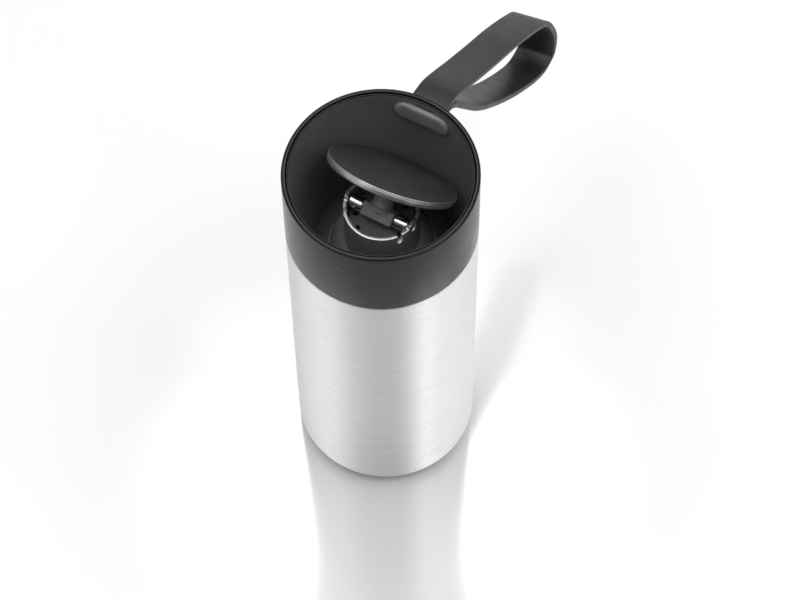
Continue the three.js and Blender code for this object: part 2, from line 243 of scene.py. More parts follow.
def prism(name, outline, depth, matrix=Matrix.Identity(4), sharp=35):
    """An outline in the XY plane pushed along Z from -depth/2 to depth/2."""
    count = len(outline)
    vertices = [(x, y, z) for z in (-depth / 2, depth / 2) for x, y in outline]
    sides = [[i, (i + 1) % count, count + (i + 1) % count, count + i] for i in range(count)]
    ends = [list(range(count))[::-1], list(range(count, 2 * count))]
    return to_object(name, vertices, sides + ends, matrix, sharp)


def bake_modifiers(obj):
    """Applies the object's modifiers to its mesh."""
    depsgraph = bpy.context.evaluated_depsgraph_get()
    mesh = bpy.data.meshes.new_from_object(obj.evaluated_get(depsgraph))
    obj.modifiers.clear()
    obj.data = mesh
    return obj


def combine(obj, others, operation):
    """Boolean of the object with each of the others, which are then removed."""
    for other in others:
        modifier = obj.modifiers.new("combine", "BOOLEAN")
        modifier.operation = operation
        modifier.solver = "EXACT"
        modifier.object = other
        bpy.context.view_layer.update()
        bake_modifiers(obj)
        bpy.data.objects.remove(other)
    return obj


def soften(obj, width, segments=3, angle=40, sharp=45):
    """Rounds the object's hard edges by a width in millimetres."""
    modifier = obj.modifiers.new("soften", "BEVEL")
    modifier.width = width * MM
    modifier.segments = segments
    modifier.limit_method = "ANGLE"
    modifier.angle_limit = math.radians(angle)
    modifier.use_clamp_overlap = True
    modifier.harden_normals = False
    bpy.context.view_layer.update()
    bake_modifiers(obj)
    tidy_shading(obj, sharp)
    return obj


def along_x(y=0.0, z=0.0):
    """The frame of a part turned about X: its own Z lies along +X."""
    return Matrix.Translation((0, y, z)) @ Matrix.Rotation(math.pi / 2, 4, "Y")


def stadium(width, height, radius, steps=10):
    """The outline of a slot with round ends."""
    x, y = width / 2 - radius, height / 2 - radius
    corners = ((x, y, 0), (-x, y, 90), (-x, -y, 180), (x, -y, 270))
    return [p for cx, cy, a in corners for p in arc(cx, cy, radius, radius, a, a + 90, steps)]


def ring_of_holes(reach, radius, sides, z):
    """Ten upright cutters, evenly spaced round the axis."""
    cutters = []
    for k in range(10):
        a = math.radians(18 + 36 * k)
        place = Matrix.Translation((reach * math.cos(a), reach * math.sin(a), z))
        cutters.append(prism("hole", circle(radius, sides), 8, place))
    return cutters


# ---- Materials ----


# Most values of a noise node lie between these two.
NOISE_LOW = 0.35
NOISE_HIGH = 0.65

# A Mix node has several sockets of each name, so its two colours and its result go by number.
MIX_A = 6
MIX_B = 7
MIX_RESULT = 2


def add_node(tree, kind, inputs=None, **settings):
    """A shader node with its settings, and each of its inputs set to a value or linked to a socket."""
    made = tree.nodes.new("ShaderNode" + kind)
    for key, value in settings.items():
        setattr(made, key, value)
    for socket, value in (inputs or {}).items():
        if isinstance(value, bpy.types.NodeSocket):
            tree.links.new(value, made.inputs[socket])
        else:
            made.inputs[socket].default_value = value
    return made


class Look:
    """A Principled material with a few short ways to vary it over the surface."""

    def __init__(self, name, **sockets):
        self.material = bpy.data.materials.new(name)
        self.material.use_nodes = True
        self.tree = self.material.node_tree
        self.shader = self.tree.nodes["Principled BSDF"]
        for socket, value in sockets.items():
            self.shader.inputs[socket.replace("_", " ")].default_value = value

    def node(self, kind, inputs=None, **settings):
        return add_node(self.tree, kind, inputs, **settings)

    def drive(self, socket, value):
        """Lets a node's output set one of the shader's sockets."""
        self.tree.links.new(value, self.shader.inputs[socket])

    def noise(self, scale, detail=3.0, stretch=(1, 1, 1)):
        """Noise over the surface. Scale is cells per millimetre; stretch multiplies it by axis."""
        place = self.node("TexCoord").outputs["Object"]
        cells = [scale / MM * s for s in stretch]
        mapped = self.node("Mapping", {"Vector": place, "Scale": cells}).outputs["Vector"]
        return self.node("TexNoise", {"Vector": mapped, "Scale": 1.0, "Detail": detail}).outputs["Fac"]

    def ramp(self, value, to_low, to_high):
        """Maps noise to the span from to_low to to_high."""
        limits = {"From Min": NOISE_LOW, "From Max": NOISE_HIGH, "To Min": to_low, "To Max": to_high}
        return self.node("MapRange", {"Value": value, **limits}).outputs["Result"]

    def vary_roughness(self, value, low, high):
        self.drive("Roughness", self.ramp(value, low, high))

    def vary_colour(self, value, dark, light):
        colours = {0: self.ramp(value, 0, 1), MIX_A: (*dark, 1), MIX_B: (*light, 1)}
        self.drive("Base Color", self.node("Mix", colours, data_type="RGBA").outputs[MIX_RESULT])

    def bump(self, value, height):
        """Raises the surface by a height in millimetres."""
        bump = self.node("Bump", {"Height": value, "Strength": 1.0, "Distance": height * MM})
        self.drive("Normal", bump.outputs["Normal"])

    def brushed_round(self):
        """Highlights drawn out along the axis, as by brushing round the body."""
        tangent = self.node("Tangent", direction_type="RADIAL", axis="Z")
        self.drive("Tangent", tangent.outputs["Tangent"])


def grey(value, warm=0.0):
    """A near-neutral linear colour."""
    return (value * (1 + warm), value, value * (1 - warm))


def brushed_steel():
    look = Look("brushed_steel", Metallic=1.0, Anisotropic=0.98, Anisotropic_Rotation=0.25)
    fine = look.noise(0.08, detail=2, stretch=(1, 1, 60))
    look.vary_colour(fine, grey(0.73), grey(0.88, 0.004))
    look.vary_roughness(fine, 0.4, 0.54)
    look.bump(fine, 0.0015)
    look.brushed_round()
    return look.material


def bare_steel():
    look = Look("bare_steel", Metallic=1.0, Anisotropic=0.4, Anisotropic_Rotation=0.25)
    drawn = look.noise(0.04, detail=2, stretch=(1, 1, 12))
    look.vary_colour(drawn, grey(0.55), grey(0.63))
    look.vary_roughness(drawn, 0.26, 0.4)
    look.brushed_round()
    return look.material


def polished_steel():
    look = Look("polished_steel", Metallic=1.0)
    turned = look.noise(0.3, detail=2, stretch=(6, 1, 1))
    look.vary_colour(turned, grey(0.72), grey(0.82))
    look.vary_roughness(turned, 0.17, 0.25)
    look.bump(turned, 0.001)
    return look.material


def soft_touch():
    look = Look("soft_touch", IOR=1.26)
    cloud = look.noise(0.06, detail=4)
    grain = look.noise(5, detail=2)
    look.vary_colour(cloud, grey(0.004), grey(0.005, 0.01))
    look.vary_roughness(cloud, 0.21, 0.28)
    look.bump(grain, 0.003)
    return look.material


def satin(name, dark, light):
    look = Look(name, IOR=1.5)
    cloud = look.noise(0.05, detail=3)
    grain = look.noise(3, detail=2)
    look.vary_colour(cloud, dark, light)
    look.vary_roughness(cloud, 0.34, 0.42)
    look.bump(grain, 0.002)
    return look.material


def gloss_black():
    look = Look("gloss_black", IOR=1.6)
    cloud = look.noise(0.12, detail=3)
    look.vary_colour(cloud, grey(0.15), grey(0.168))
    look.vary_roughness(cloud, 0.08, 0.14)
    look.bump(look.noise(0.4, detail=2), 0.003)
    return look.material


def disc_face():
    look = Look("disc_face", IOR=1.48)
    cloud = look.noise(0.05, detail=4)
    grain = look.noise(7, detail=2)
    look.vary_colour(cloud, grey(0.022), grey(0.027))
    look.vary_roughness(cloud, 0.5, 0.58)
    look.bump(grain, 0.004)
    return look.material


# A bright metal finish for the hub's rim tops and notch walls: painted highlight on the black hub.
def rim_painted_highlight():
    look = Look("rim_painted_highlight", Metallic=1.0)
    turned = look.noise(0.8, detail=2)
    look.vary_colour(turned, grey(0.8), grey(0.88))
    look.vary_roughness(turned, 0.38, 0.48)
    return look.material


def knuckle_plastic():
    look = Look("knuckle_plastic", IOR=1.5)
    look.vary_colour(look.noise(0.2, detail=3), grey(0.21), grey(0.24))
    look.vary_roughness(look.noise(0.3), 0.24, 0.34)
    return look.material


def disc_band():
    look = Look("disc_band", Metallic=0.85)
    look.vary_colour(look.noise(0.2, detail=3), grey(0.34), grey(0.42))
    look.vary_roughness(look.noise(4, detail=3), 0.26, 0.4)
    look.bump(look.noise(4, detail=2), 0.004)
    return look.material


def silicone(name, dark, light, rough):
    look = Look(name, IOR=1.48)
    cloud = look.noise(0.1, detail=4)
    look.vary_colour(cloud, dark, light)
    look.vary_roughness(cloud, rough - 0.04, rough + 0.05)
    look.bump(look.noise(4, detail=3), 0.006)
    return look.material


def foot_rubber():
    look = Look("foot_rubber", IOR=1.45)
    look.vary_colour(look.noise(0.3, detail=4), grey(0.025), grey(0.035))
    look.vary_roughness(look.noise(2), 0.7, 0.85)
    look.bump(look.noise(3, detail=3), 0.02)
    return look.material


LOOKS = {
    "brushed_steel": brushed_steel(),
    "bare_steel": bare_steel(),
    "polished_steel": polished_steel(),
    "soft_touch": soft_touch(),
    "bowl_plastic": satin("satin_bowl", grey(0.088), grey(0.100, 0.01)),
    "plug_plastic": satin("satin_plug", grey(0.014), grey(0.018, 0.01)),
    "gloss_black": gloss_black(),
    "disc_plastic": disc_face(),
    "disc_band": disc_band(),
    "rim_painted_highlight": rim_painted_highlight(),
    "knuckle_plastic": knuckle_plastic(),
    # A lighter copy of the strap's silicone for the pad inside the bowl: painted light, a lit copy of one
    # material.
    "strap_pad": silicone("strap_pad", grey(0.13), grey(0.15, 0.01), 0.32),
    "foot_rubber": foot_rubber(),
    "seal_silicone": silicone("seal_silicone", grey(0.30, 0.01), grey(0.36, 0.01), 0.45),
    "strap_silicone": silicone("strap_silicone", grey(0.007), grey(0.010, 0.01), 0.46),
}


def dress(obj, slot, body, *nodes):
    """Gives a piece its finish and its body, and hides the CAD nodes that it stands for."""
    obj.data.materials.clear()
    obj.data.materials.append(LOOKS[slot])
    if nodes:
        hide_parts(*nodes)
    if body:
        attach(obj, body)
    return obj


# ---- Vessel ----


def outer_shell():
    """The outer wall and its foot in one, with a small hole at the centre for the vacuum's plug."""
    top = span("outer_shell")[1].z
    foot = span("base_cup")[0].z
    corner, wall, edge, hole = 6.5, 0.8, 0.6, 1.2
    c = RADIUS - corner
    profile = [
        (hole, foot), *arc(c, foot + corner, corner, corner, -90, 0, 16),
        *arc(RADIUS - edge, top - edge, edge, edge, 0, 90, 4),
        (35.5, top), (35.3, top - 0.2), (35.3, top - wall), (RADIUS - wall, top - wall),
        *arc(c, foot + corner, corner - wall, corner - wall, 0, -90, 10), (hole, foot + wall),
    ]
    shell = lathe("body_outer_wall", profile, 256)
    dress(shell, "brushed_steel", "vessel", "outer_shell", "base_cup")


def inner_vessel():
    """The wall and floor that hold the drink, in one, with a rolled lip."""
    high = span("inner_vessel")[1]
    low = span("inner_floor")[0]
    wall, corner = 0.6, 2
    r = high.x - wall
    profile = [
        (0, low.z + wall),
        *arc(r - corner, low.z + wall + corner, corner, corner, -90, 0, 8),
        *arc(r + wall / 2, high.z - wall / 2, wall / 2, wall / 2, 180, 0, 4),
        *arc(r - corner, low.z + wall + corner, corner + wall, corner + wall, 0, -90, 8),
        (0, low.z),
    ]
    liner = lathe("body_inner_wall", profile)
    dress(liner, "bare_steel", "vessel", "inner_vessel", "inner_floor")


def foot_pad():
    """A flat round pad with one shallow groove near its edge."""
    low, high = span("foot_pad")
    r = high.x
    near, far, depth = 0.8 * r, 0.84 * r, 0.25
    profile = [
        (0, low.z), (near, low.z), (near + 0.2, low.z + depth), (far - 0.2, low.z + depth), (far, low.z),
        *arc(r - 0.5, low.z + 0.5, 0.5, 0.5, -90, 0, 4),
        (r, high.z - 0.2), (r - 0.2, high.z), (0, high.z),
    ]
    dress(lathe("base_pad", profile), "foot_rubber", "vessel", "foot_pad")


# ---- Lid ----


def bowl_radius(z):
    """Radius of the bowl's inner wall at a height."""
    return BOWL_LIP_R - BOWL_TAPER * ((RIM - z) / BOWL_DEPTH) ** 1.5


def strap_slot():
    """A cutter for the slot in the rim wall, which leaves 0.3 mm round the strap's neck."""
    outline = stadium(STRAP_WIDTH + 0.6, NECK_HEIGHT + 0.6, 1.2)
    turn = Matrix.Translation((0, 35, STRAP_HINGE.z)) @ Matrix.Rotation(math.pi / 2, 4, "X")
    return prism("slot", outline, 10, turn)


def lid_collar():
    """The ring round the top, flush with the body."""
    inner = RADIUS - 1.8
    profile = rounded([
        (inner, COLLAR_LOW.z, 0.2), (RADIUS, COLLAR_LOW.z, 0.7), (RADIUS, RIM, 0.9), (inner, RIM, 0.45),
    ], 6)
    collar = combine(lathe("lid_ring", profile, 256), [strap_slot()], "DIFFERENCE")
    tidy_shading(collar, 30)
    dress(collar, "soft_touch", "lid", "lid_collar")


def bowl_liner():
    """The bowl: a steep wall that bends into a flat floor with holes. Its lip has the collar's finish."""
    high = span("bowl_liner")[1]
    top, lip = high.z, high.x
    flat, drop = 22, 7
    join = BOWL_FLOOR + drop
    bend = bowl_radius(join) - flat
    heights = np.linspace(join, top - 0.35, 40)
    inner = [(bowl_radius(z), z) for z in heights]
    outer = [(min(lip, bowl_radius(z) + BOWL_WALL), z) for z in heights[::-1]]
    profile = [
        (SCREW_HOLE, BOWL_FLOOR), *arc(flat, join, bend, drop, -90, -10, 12), *inner,
        (bowl_radius(top) + 0.1, top - 0.1), (bowl_radius(top) + 0.25, top), (lip - 0.15, top), *outer,
        *arc(flat, join, bend + BOWL_WALL, drop + BOWL_FLOOR_WALL, -10, -90, 12),
        (SCREW_HOLE, BOWL_FLOOR - BOWL_FLOOR_WALL),
    ]
    wall = lathe("bowl", profile, 256)
    combine(wall, [strap_slot(), *ring_of_holes(11.5, 2.4, 24, BOWL_FLOOR)], "DIFFERENCE")
    tidy_shading(wall, 30)
    dress(wall, "bowl_plastic", "lid", "bowl_liner")
    wall.data.materials.append(LOOKS["soft_touch"])
    for polygon in wall.data.polygons:
        if polygon.center.z / MM > top - 0.3:
            polygon.material_index = 1


def thread_ridge():
    """The plug's thread: a low ridge wound as a helix, which fades into the wall at both ends."""
    start = span("lid_plug")[0].z + 15.2
    turns, lead, steps, fade = 1.25, 4, 200, 14
    vertices, rows = [], []
    for i in range(steps + 1):
        a = 2 * math.pi * turns * i / steps
        z = start + lead * turns * i / steps
        rise = 0.5 * min(1, i / fade, (steps - i) / fade)
        section = [(-0.5, -0.9), (-0.02, -0.8), (rise, -0.35), (rise, 0.35), (-0.02, 0.8), (-0.5, 0.9)]
        rows.append(list(range(len(vertices), len(vertices) + len(section))))
        for out, up in section:
            r = PLUG_R + out
            vertices.append((r * math.cos(a), r * math.sin(a), z + up))
    return to_object("ridge", vertices, skin(rows))


def screw_plug():
    """The plug under the bowl: a flange, a threaded wall, a groove for its seal and an inner shelf."""
    low, high = span("lid_plug")
    inner, flange, hole, skirt = PLUG_R - 1, high.z - 1.4, 20.5, 28
    shelf = BOWL_FLOOR - BOWL_FLOOR_WALL - 0.4
    groove, foot = low.z + 1.2, PLUG_R - 0.1
    profile = rounded([
        (hole, shelf - 1.6, 0.3), (skirt, shelf - 1.6, 0.8), (skirt, low.z, 0.6), (foot, low.z, 0.5),
        (foot, groove, 0.15), (GROOVE_R, groove, 0.2), (GROOVE_R, groove + 3.4, 0.2),
        (PLUG_R, groove + 3.4, 0.3), (PLUG_R, flange, 0.4), (high.x, flange, 0.2), (high.x, high.z, 0.3),
        (inner + 0.7, high.z, 0), (inner + 0.7, high.z - 0.7, 0), (inner, flange, 0),
        (inner, shelf, 0.3), (hole, shelf, 0.3),
    ])
    plug = combine(lathe("screw_plug", profile, 200), [thread_ridge()], "UNION")
    tidy_shading(plug, 40)
    dress(plug, "bowl_plastic", "lid", "lid_plug")
    plug.data.materials[0] = LOOKS["plug_plastic"]


def lid_rings():
    """The seal on the vessel's mouth and the lip seal at the plug's foot."""
    low, high = span("mouth_seal")
    bore = 33.8
    profile = rounded([
        (bore, low.z, 0.5), (high.x, low.z, 0.7), (high.x, high.z, 0.7), (bore, high.z, 0.5),
    ])
    dress(lathe("mouth_ring", profile), "seal_silicone", "lift_carrier", "mouth_seal")
    low, high = span("lid_gasket")
    middle = (low.z + high.z) / 2
    bore = GROOVE_R + 0.3
    lip = [(high.x - 0.5, low.z, 0.4), (high.x, middle, 0.3), (high.x - 0.5, high.z, 0.4)]
    profile = rounded([(bore, low.z, 0.2), *lip, (bore, high.z, 0.2)])
    dress(lathe("plug_ring", profile), "seal_silicone", "thread_carrier", "lid_gasket")


def guide_cap():
    """The fixed post in the tube: a round cap with small holes on a stem."""
    low, top, r = CAP_LOW.z, CAP_HIGH.z, CAP_HIGH.x
    profile = [
        (0, top), (4.2, top), (4.5, top - 0.25), (5.2, top - 0.25), (5.5, top),
        (r - 0.4, top), (r, top - 0.4), (r, top - 2), (3.9, top - 2), (3.9, low),
        (SCREW_HOLE, low), (SCREW_HOLE, low + 9.7), (0, low + 9.7),
    ]
    cap = lathe("post_cap", profile, 96)
    combine(cap, ring_of_holes(10.4, 1.1, 18, top), "DIFFERENCE")
    tidy_shading(cap, 30)
    dress(cap, "bowl_plastic", "lid", "guide_post")


# ---- Valve hub ----


def valve_hub():
    """The dome and its tube in one, with two ears for the pin and four notches in the tube's edge."""
    base = span("hub_dome")[0].z
    post_hole, roof = 4.3, base + 6.5
    outline = [
        (post_hole, roof - 1.5), (15.6, roof - 1.5),
        *arc(14.3, base + 0.5, 5, 5.8, 48, 0, 8), (19.3, base), (20.5, base), (20.8, base + 0.3),
        *arc(14.3, base + 0.5, 6.5, 7.5, 0, 80, 18), (TUBE_R, base + 8.1), (TUBE_R, base + 8.8),
        *arc(TUBE_R - 0.35, TUBE_TOP - 0.35, 0.35, 0.35, 0, 90, 3),
        *arc(TUBE_BORE + 0.35, TUBE_TOP - 0.35, 0.35, 0.35, 90, 180, 3),
        (TUBE_BORE, roof), (post_hole, roof),
    ]
    hub = lathe("hub", outline, 160)
    low, high = PIN.z - 6, PIN.z + 6
    ears = lathe("ears", [(TUBE_BORE, low), (TUBE_R, low), (TUBE_R, high), (TUBE_BORE, high)], 160)
    round_ends = prism("ear_round", circle(3.5, 36), 34, along_x(PIN.y, PIN.z))
    combine(ears, [round_ends], "INTERSECT")
    combine(hub, [ears], "UNION")
    cuts = [prism("bore", circle(BORE_R, 30), 34, along_x(PIN.y, PIN.z))]
    notch_depth = 5
    notch = stadium(2.2, 2 * notch_depth + 2, 1.05)
    for degrees in (-147, -33, 33, 147):
        turn = Matrix.Rotation(math.radians(degrees), 4, "Z")
        place = Matrix.Translation((TUBE_R, 0, TUBE_TOP + 1)) @ Matrix.Rotation(math.pi / 2, 4, "Z")
        stand = Matrix.Rotation(math.pi / 2, 4, "X")
        cuts.append(prism("notch", notch, 6, turn @ place @ stand))
    combine(hub, cuts, "DIFFERENCE")
    soften(hub, 0.22, 2, 50, 50)
    dress(hub, "gloss_black", "valve", "hub_dome")
    # The up-facing rim faces and the notch walls take the bright metal finish: painted highlights on the
    # black hub.
    hub.data.materials.append(LOOKS["rim_painted_highlight"])
    for polygon in hub.data.polygons:
        centre = polygon.center / MM
        outward = Vector((centre.x, centre.y, 0)).normalized()
        below = TUBE_TOP - centre.z
        faces_round = abs(polygon.normal.dot(outward)) < 0.5
        in_notch = 0.6 < below < notch_depth + 0.5 and faces_round and abs(centre.x) > 10
        on_rim = abs(below) < 0.45 and polygon.normal.z > 0.3
        if on_rim or in_notch:
            polygon.material_index = 1


def hub_ring():
    """The soft ring under the dome, which closes on the bowl's floor."""
    low, high = span("hub_seal")
    profile = rounded([
        (18.3, high.z, 0), (17.9, low.z + 0.5, 0.3), (18.6, low.z, 0.3), (20.4, low.z, 0.5),
        (21.3, low.z + 0.8, 0.4), (21.4, high.z - 0.1, 0.3), (20.9, high.z + 0.15, 0.1),
    ], 3)
    dress(lathe("valve_ring", profile, 160), "seal_silicone", "valve", "hub_seal")


def hinge_pin():
    """The cross pin in the hub's ears."""
    high = span("hinge_pin")[1]
    r, end = high.z - PIN.z, high.x
    profile = rounded([(0, -end, 0), (r, -end, 0.4), (r, end, 0.4), (0, end, 0)])
    pin = lathe("pivot_pin", profile, 48, along_x(PIN.y, PIN.z))
    dress(pin, "polished_steel", "valve", "hinge_pin")


def pin_sleeves():
    """The two barrels on the pin, on either side of the knuckle."""
    low, high = span("pin_sleeve_right")
    r = high.z - PIN.z
    near, far = low.x, high.x
    profile = rounded([(BORE_R, near, 0.1), (r, near, 0.35), (r, far, 0.35), (BORE_R, far, 0.1)])
    for side, node in ((1, "pin_sleeve_right"), (-1, "pin_sleeve_left")):
        place = Matrix.Translation((0, PIN.y, PIN.z)) @ Matrix.Rotation(side * math.pi / 2, 4, "Y")
        name = node.replace("pin_sleeve", "barrel")
        dress(lathe(name, profile, 64, place), "polished_steel", "valve", node)


# ---- Flip disc ----


def flip_disc():
    """The round disc, with a fine step in its edge band."""
    low, top, r = DISC_TOP - DISC_THICKNESS, DISC_TOP, DISC_R
    profile = [
        (0, low), (r - 1.2, low), *arc(r - 0.9, low + 0.8, 0.8, 0.8, -90, -10, 5),
        (r, low + 1.3), (r - 0.02, low + 2.05), (r - 0.14, low + 2.2), (r - 0.14, low + 2.32),
        *arc(r - 0.45, top - 0.35, 0.38, 0.35, 0, 90, 5), (r - 1.2, top), (0, top),
    ]
    place = DISC_FRAME @ Matrix.Translation((0, DISC_Y, 0))
    disc = lathe("tilting_disc", profile, 224, place, 30)
    dress(disc, "disc_plastic", "disc", "flip_disc")
    disc.data.materials.append(LOOKS["disc_band"])
    inverse = place.inverted()
    for polygon in disc.data.polygons:
        centre = inverse @ (polygon.center / MM)
        if Vector((centre.x, centre.y)).length > r - 0.62:
            polygon.material_index = 1


def disc_knuckle():
    """The pivot block with its cam lobe, and the stem that carries the disc."""
    outline = [
        (-3.4, 2.2, 0.3), (-2.8, 2.8, 0.3), (3.2, 2.8, 0.3), (4.4, 1.8, 0.3), (6.09, -1.63, 0.5),
        (5, -2.3, 0.4), (1.4, -3, 0.4), (-2.8, -3, 0.3), (-3.4, -2.4, 0.3),
    ]
    to_yz = Matrix(((0, 0, 1, 0), (1, 0, 0, 0), (0, 1, 0, 0), (0, 0, 0, 1)))
    pivot = prism("knuckle", rounded(outline, 3), 13.2, to_yz)
    soften(pivot, 0.45, 3, 60, 40)
    top = DISC_TOP - DISC_THICKNESS - 0.3
    stem_profile = [
        (0, 1.5), (5.2, 1.5), (5.2, 2.7), *arc(5.6, 4.3, 1.5, 1.5, 255, 180, 5), (STEM_R, top - 2.2),
        *arc(STEM_R + 0.8, top - 2.2, 0.8, 0.8, 180, 90, 4), *arc(8.3, top - 1.1, 0.3, 0.3, -90, 0, 3),
        (8.6, top), (0, top),
    ]
    stem = lathe("stem", stem_profile, 72, Matrix.Translation((0, STEM_Y, 0)))
    combine(pivot, [stem], "UNION")
    bore = prism("bore", circle(BORE_R, 30), 20, along_x())
    combine(pivot, [bore], "DIFFERENCE")
    pivot.data.transform(Matrix.Scale(1 / MM, 4))
    pivot.data.transform(DISC_FRAME)
    pivot.data.transform(Matrix.Scale(MM, 4))
    tidy_shading(pivot, 40)
    dress(pivot, "gloss_black", "disc", "disc_knuckle")
    pivot.data.materials[0] = LOOKS["knuckle_plastic"]


# ---- Strap ----


def catmull(points, per_span):
    """A smooth line through points, with equal steps in each span."""
    p = np.array([2 * np.array(points[0]) - points[1], *points, 2 * np.array(points[-1]) - points[-2]])
    line = []
    for i in range(1, len(p) - 2):
        for k in range(per_span):
            t = k / per_span
            a, b, c, d = p[i - 1], p[i], p[i + 1], p[i + 2]
            line.append(0.5 * (2 * b + (c - a) * t + (2 * a - 5 * b + 4 * c - d) * t**2
                               + (3 * b - a - 3 * c + d) * t**3))
    line.append(p[-2])
    return np.array(line)


def even(line, step):
    """The same line with points a fixed step apart."""
    length = np.concatenate([[0], np.cumsum(np.linalg.norm(np.diff(line, axis=0), axis=1))])
    count = max(2, round(length[-1] / step))
    at = np.linspace(0, length[-1], count + 1)
    return np.stack([np.interp(at, length, line[:, k]) for k in range(line.shape[1])], axis=1)


def strap_band():
    """The flat band along its centre line, skewed at its far end as it hangs slightly twisted."""
    line = even(catmull(STRAP_LINE, 24), 1.4)
    tangent = np.gradient(line, axis=0)
    tangent /= np.linalg.norm(tangent, axis=1)[:, None]
    section = stadium(STRAP_WIDTH, STRAP_THICKNESS, 0.6, 4)
    vertices, rows = [], []
    half = STRAP_WIDTH / 2
    for (y, z), (ty, tz) in zip(line, tangent):
        skew = STRAP_SKEW * max(0, min(1, (y - SKEW_FROM) / SKEW_REACH)) / STRAP_WIDTH
        rows.append(list(range(len(vertices), len(vertices) + len(section))))
        for x, h in section:
            slide = skew * (x - half)
            vertices.append((x, y - tz * h + slide, z + ty * h - SKEW_DROP * slide))
    return to_object("strap", vertices, skin(rows))


def strap_neck():
    """The block that passes through the rim wall and joins both runs of the strap."""
    outline = stadium(STRAP_WIDTH, NECK_HEIGHT, 0.9, 5)
    depth = 6.6
    centre_y = 33.2 + depth / 2
    turn = Matrix.Translation((0, centre_y, STRAP_HINGE.z)) @ Matrix.Rotation(math.pi / 2, 4, "X")
    return prism("neck", outline, depth, turn)


def strap_pad():
    """The bean-shaped pad that holds the strap inside the bowl."""
    steps = [
        (0, -0.5), (0, 0.35), (0.08, 0.75), (0.3, 1.1), (0.7, 1.38), (1.3, 1.5), (2.4, 1.55), (3.9, 1.6),
    ]
    radius = PAD_HEIGHT / 2 - 0.05
    vertices, rows = [], []
    for inset, height in steps:
        outline = stadium(PAD_WIDTH - 2 * inset, 2 * (radius - inset) + 1e-3, radius - inset, 12)
        rows.append(list(range(len(vertices), len(vertices) + len(outline))))
        for s, h in outline:
            r = bowl_radius(PAD_Z + h) - height
            a = s / PAD_BEND_R
            vertices.append((r * math.sin(a), r * math.cos(a), PAD_Z + h))
    return to_object("pad", vertices, skin(rows))


def strap():
    """The strap, its neck and its pad in one. It bends where it leaves the rim."""
    band = strap_band()
    combine(band, [strap_neck(), strap_pad()], "UNION")
    band.name = "carrying_strap"
    tidy_shading(band, 40)
    dress(band, "strap_silicone", None, "strap_anchor", "strap_loop")
    # The faces inside the bowl's wall take the lighter copy: painted light on the pad, which is the same
    # silicone as the strap.
    band.data.materials.append(LOOKS["strap_pad"])
    for polygon in band.data.polygons:
        centre = polygon.center / MM
        if math.hypot(centre.x, centre.y) < bowl_radius(centre.z) + 0.2:
            polygon.material_index = 1
    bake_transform(band)


# ---- Pieces that stay as the CAD made them ----


def dress_cad():
    """Gives the CAD nodes that still show their slot's finish and smooth shading."""
    slots = {row["node"]: row["material_slot"] for row in frame["record"]["subparts"]}
    for node, obj in frame["nodes"].items():
        if obj.hide_render:
            continue
        obj.data.materials.clear()
        obj.data.materials.append(LOOKS[slots[node]])
        for polygon in obj.data.polygons:
            polygon.use_smooth = True
        obj.data.set_sharp_from_angle(angle=math.radians(35))


# ---- Studio and camera ----


def floor():
    """A white table, glossy just in front of the mug, where it mirrors the body a little. Its matt colour
    is darker there: painted shade of the mug on the table.
    """
    bpy.ops.mesh.primitive_plane_add(size=8, location=(0, 0, 0))
    plane = bpy.context.object
    plane.name = "floor"
    material = bpy.data.materials.new("floor")
    material.use_nodes = True
    tree = material.node_tree
    tree.nodes.clear()

    def smooth(value, from_min, from_max, to_min=0, to_max=1):
        limits = {"From Min": from_min, "From Max": from_max, "To Min": to_min, "To Max": to_max}
        made = add_node(tree, "MapRange", {"Value": value, **limits}, interpolation_type="SMOOTHSTEP")
        return made.outputs["Result"]

    place = add_node(tree, "TexCoord").outputs["Object"]
    to_view = {"Vector": place, "Rotation": (0, 0, -VIEW_SIDE)}
    turned = add_node(tree, "Mapping", to_view).outputs["Vector"]
    in_front = smooth(add_node(tree, "SeparateXYZ", {0: turned}).outputs["Y"], 0.02, -0.04)
    radius = add_node(tree, "VectorMath", {0: place}, operation="LENGTH").outputs["Value"]
    close = smooth(radius, 0.07, 0.17, 1, 0)
    # The zone in front of the mug: real gloss, and a darker matt colour that is painted shade.
    gloss_and_painted_shade = add_node(tree, "Math", {0: in_front, 1: close}, operation="MULTIPLY").outputs[0]
    # The matt colour drops from 0.8 to 0.62 in that zone: painted shade in front of the mug.
    colours = {0: gloss_and_painted_shade, MIX_A: (*grey(0.8), 1), MIX_B: (*grey(0.62), 1)}
    matt_colour_with_painted_shade = add_node(tree, "Mix", colours, data_type="RGBA").outputs[MIX_RESULT]
    share = add_node(tree, "Math", {0: gloss_and_painted_shade, 1: 0.25, 2: 0.03}, operation="MULTIPLY_ADD").outputs[0]
    matt = add_node(tree, "BsdfDiffuse", {"Color": matt_colour_with_painted_shade}).outputs[0]
    gloss = add_node(tree, "BsdfGlossy", {"Color": (*grey(0.98), 1), "Roughness": 0.12}).outputs[0]
    mix = add_node(tree, "MixShader", {"Fac": share, 1: matt, 2: gloss}).outputs[0]
    add_node(tree, "OutputMaterial", {"Surface": mix})
    plane.data.materials.append(material)


def softbox(name, turn, elevation, width, height, power):
    """A rectangular light that stands round the mug and is aimed at it."""
    light = bpy.data.lights.new(name, "AREA")
    light.shape = "RECTANGLE"
    light.size, light.size_y = width, height
    light.energy = power
    obj = bpy.data.objects.new(name, light)
    place = Vector(around(turn, elevation, LIGHT_DISTANCE))
    obj.location = place
    obj.rotation_euler = (Vector(AIM) - place).to_track_quat("-Z", "Y").to_euler()
    bpy.context.scene.collection.objects.link(obj)


def around(turn, elevation, distance):
    """A place round the mug: degrees to the right of the viewing side, and up."""
    a, e = VIEW_SIDE + math.radians(turn), math.radians(elevation)
    level = distance * math.cos(e)
    return (level * math.sin(a), -level * math.cos(a), AIM[2] + distance * math.sin(e))


